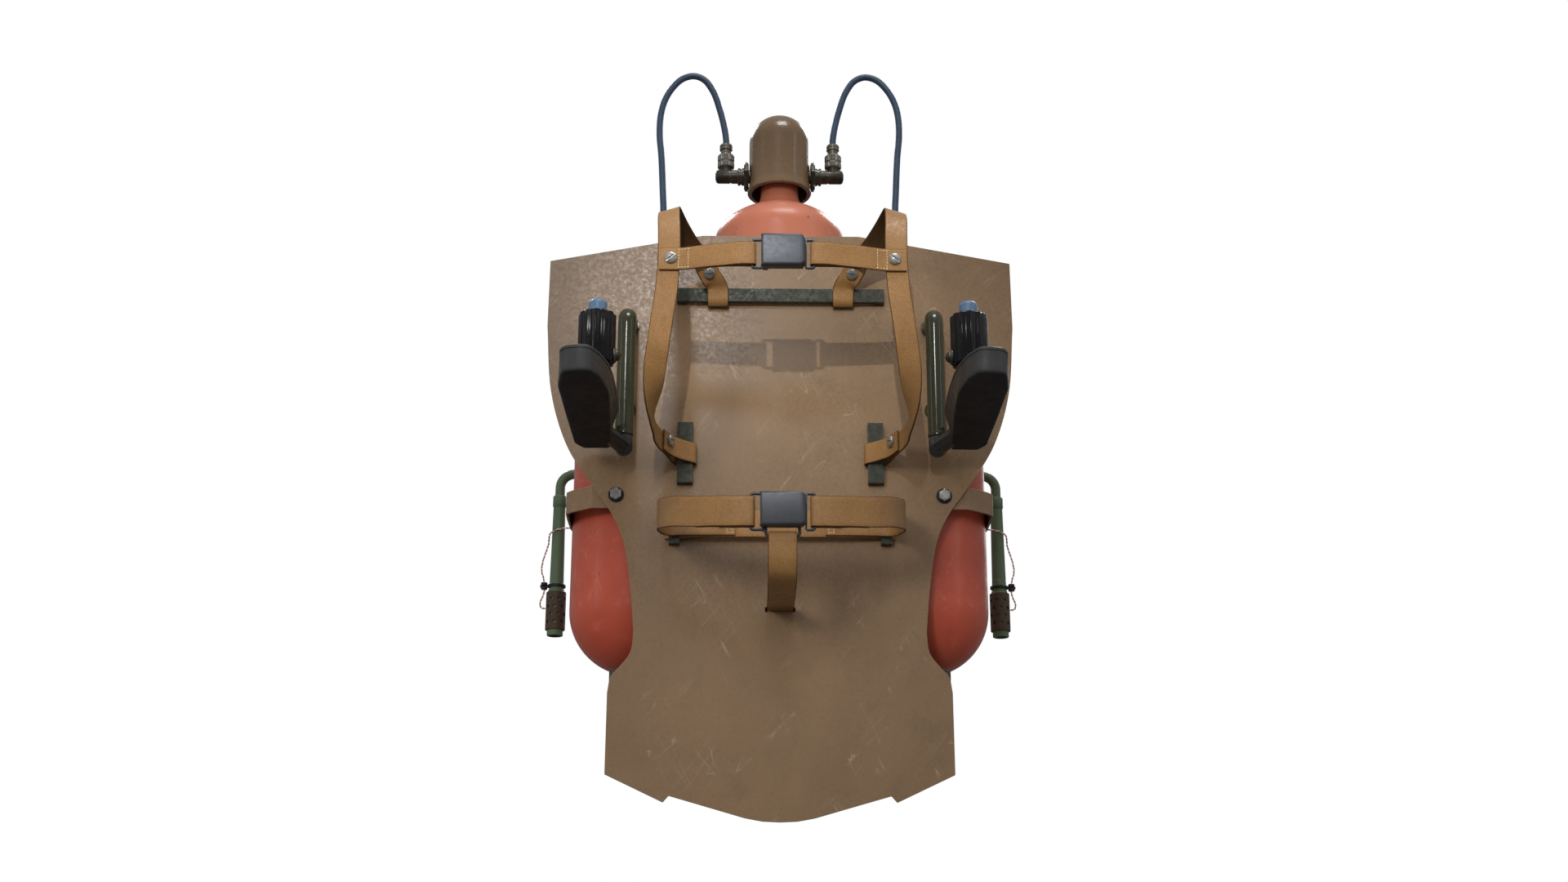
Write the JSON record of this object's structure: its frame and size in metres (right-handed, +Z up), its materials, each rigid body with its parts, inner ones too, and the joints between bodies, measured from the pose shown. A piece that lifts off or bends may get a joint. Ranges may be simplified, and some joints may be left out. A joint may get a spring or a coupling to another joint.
{
  "type": "breathing apparatus",
  "caption": "Back-worn breathing apparatus: a brown load plate with red gas cylinders behind it, a leather harness with latch buckles, and armrests with fluted control grips.",
  "frame": {"origin": "the middle of the cylinder shelf's flat underside, on the plane of symmetry, 85 mm behind the load plate's wearer face and 174 mm above the plate's lowest point", "axes": "+Z up, -Y towards the wearer, +Y towards the cylinders, +X to the right when the wearer side is seen from the front"},
  "size_m": [0.6168, 0.5213, 1.0229],
  "materials": {
    "plate_paint": "satin, worn and scratched brown paint",
    "red_paint": "satin red paint",
    "guard_paint": "gloss brown paint",
    "dark_steel": "dark mottled coating",
    "fitting_metal": "aged gunmetal with bright edges",
    "plain_steel": "zinc plated",
    "hose_rubber": "slate blue, matte",
    "pipe_paint": "satin olive green",
    "vent_steel": "dark brown, matte",
    "leather": "grained tan, worn",
    "buckle_metal": "dark burnished",
    "olive_tube": "gloss dark olive",
    "pad_rubber": "dark grey, semi-matte",
    "grip_plastic": "gloss black",
    "button_plastic": "satin blue",
    "cable_sheath": "thin twisted pink and white sheath"
  },
  "bodies": {
    "rig": {"load_plate": "plate_paint", "shoulder_bar": "dark_steel", "left_side_bar": "dark_steel", "right_side_bar": "dark_steel", "left_waist_bar": "dark_steel", "right_waist_bar": "dark_steel", "cylinder_cradle": "dark_steel", "left_clamp_band": "plate_paint", "right_clamp_band": "plate_paint", "left_clamp_bolt": "plain_steel", "right_clamp_bolt": "plain_steel", "main_cylinder": "red_paint", "left_side_cylinder": "red_paint", "right_side_cylinder": "red_paint", "main_valve": "fitting_metal", "valve_guard": "guard_paint", "left_hose_elbow": "fitting_metal", "right_hose_elbow": "fitting_metal", "left_hose": "hose_rubber", "right_hose": "hose_rubber", "left_side_valve": "fitting_metal", "right_side_valve": "fitting_metal", "left_outlet_pipe": "pipe_paint", "right_outlet_pipe": "pipe_paint", "left_vent_sleeve": "vent_steel", "right_vent_sleeve": "vent_steel", "left_cable": "cable_sheath", "right_cable": "cable_sheath", "left_shoulder_strap": "leather", "right_shoulder_strap": "leather", "left_chest_strap": "leather", "right_chest_strap": "leather", "left_waist_strap": "leather", "right_waist_strap": "leather", "back_belt": "leather", "crotch_strap": "leather", "left_shoulder_screw": "plain_steel", "right_shoulder_screw": "plain_steel", "left_chest_screw": "plain_steel", "right_chest_screw": "plain_steel", "left_side_screw": "plain_steel", "right_side_screw": "plain_steel", "left_waist_screw": "plain_steel", "right_waist_screw": "plain_steel", "chest_buckle_body": "buckle_metal", "chest_buckle_tongue": "buckle_metal", "waist_buckle_body": "buckle_metal", "waist_buckle_tongue": "buckle_metal", "left_arm_tube": "olive_tube", "right_arm_tube": "olive_tube"},
    "chest_cover": {"chest_buckle_cover": "buckle_metal"},
    "waist_cover": {"waist_buckle_cover": "buckle_metal"},
    "left_arm": {"left_armrest": "pad_rubber"},
    "left_control": {"left_grip": "grip_plastic"},
    "left_button": {"left_grip_button": "button_plastic"},
    "left_wheel": {"left_handwheel": "pad_rubber"},
    "right_arm": {"right_armrest": "pad_rubber"},
    "right_control": {"right_grip": "grip_plastic"},
    "right_button": {"right_grip_button": "button_plastic"},
    "right_wheel": {"right_handwheel": "pad_rubber"}
  },
  "joints": [
    {"name": "chest_latch", "type": "hinge", "parent": "rig", "child": "chest_cover", "pos_m": [-0.021, -0.3146, 0.437], "axis": [0, 0, -1], "range_deg": [0, 75]},
    {"name": "waist_latch", "type": "hinge", "parent": "rig", "child": "waist_cover", "pos_m": [-0.021, -0.2886, 0.1405], "axis": [0, 0, -1], "range_deg": [0, 75]},
    {"name": "left_armrest_swing", "type": "hinge", "parent": "rig", "child": "left_arm", "pos_m": [-0.188, -0.13, 0.278], "axis": [0, 0, -1], "range_deg": [0, 40]},
    {"name": "left_grip_tilt", "type": "hinge", "parent": "left_arm", "child": "left_control", "pos_m": [-0.2067, -0.325, 0.307], "axis": [1, 0, 0], "range_deg": [-15, 15]},
    {"name": "left_button_press", "type": "slide", "parent": "left_control", "child": "left_button", "axis": [0, 0, -1], "range_m": [0, 0.004]},
    {"name": "left_valve_turn", "type": "hinge", "parent": "rig", "child": "left_wheel", "pos_m": [-0.22, 0.013, 0.474], "axis": [-1, 0, 0], "range_deg": [0, 630]},
    {"name": "right_armrest_swing", "type": "hinge", "parent": "rig", "child": "right_arm", "pos_m": [0.188, -0.13, 0.278], "axis": [0, 0, 1], "range_deg": [0, 40]},
    {"name": "right_grip_tilt", "type": "hinge", "parent": "right_arm", "child": "right_control", "pos_m": [0.2067, -0.325, 0.307], "axis": [1, 0, 0], "range_deg": [-15, 15]},
    {"name": "right_button_press", "type": "slide", "parent": "right_control", "child": "right_button", "axis": [0, 0, -1], "range_m": [0, 0.004]},
    {"name": "right_valve_turn", "type": "hinge", "parent": "rig", "child": "right_wheel", "pos_m": [0.22, 0.013, 0.474], "axis": [1, 0, 0], "range_deg": [0, 630]}
  ]
}
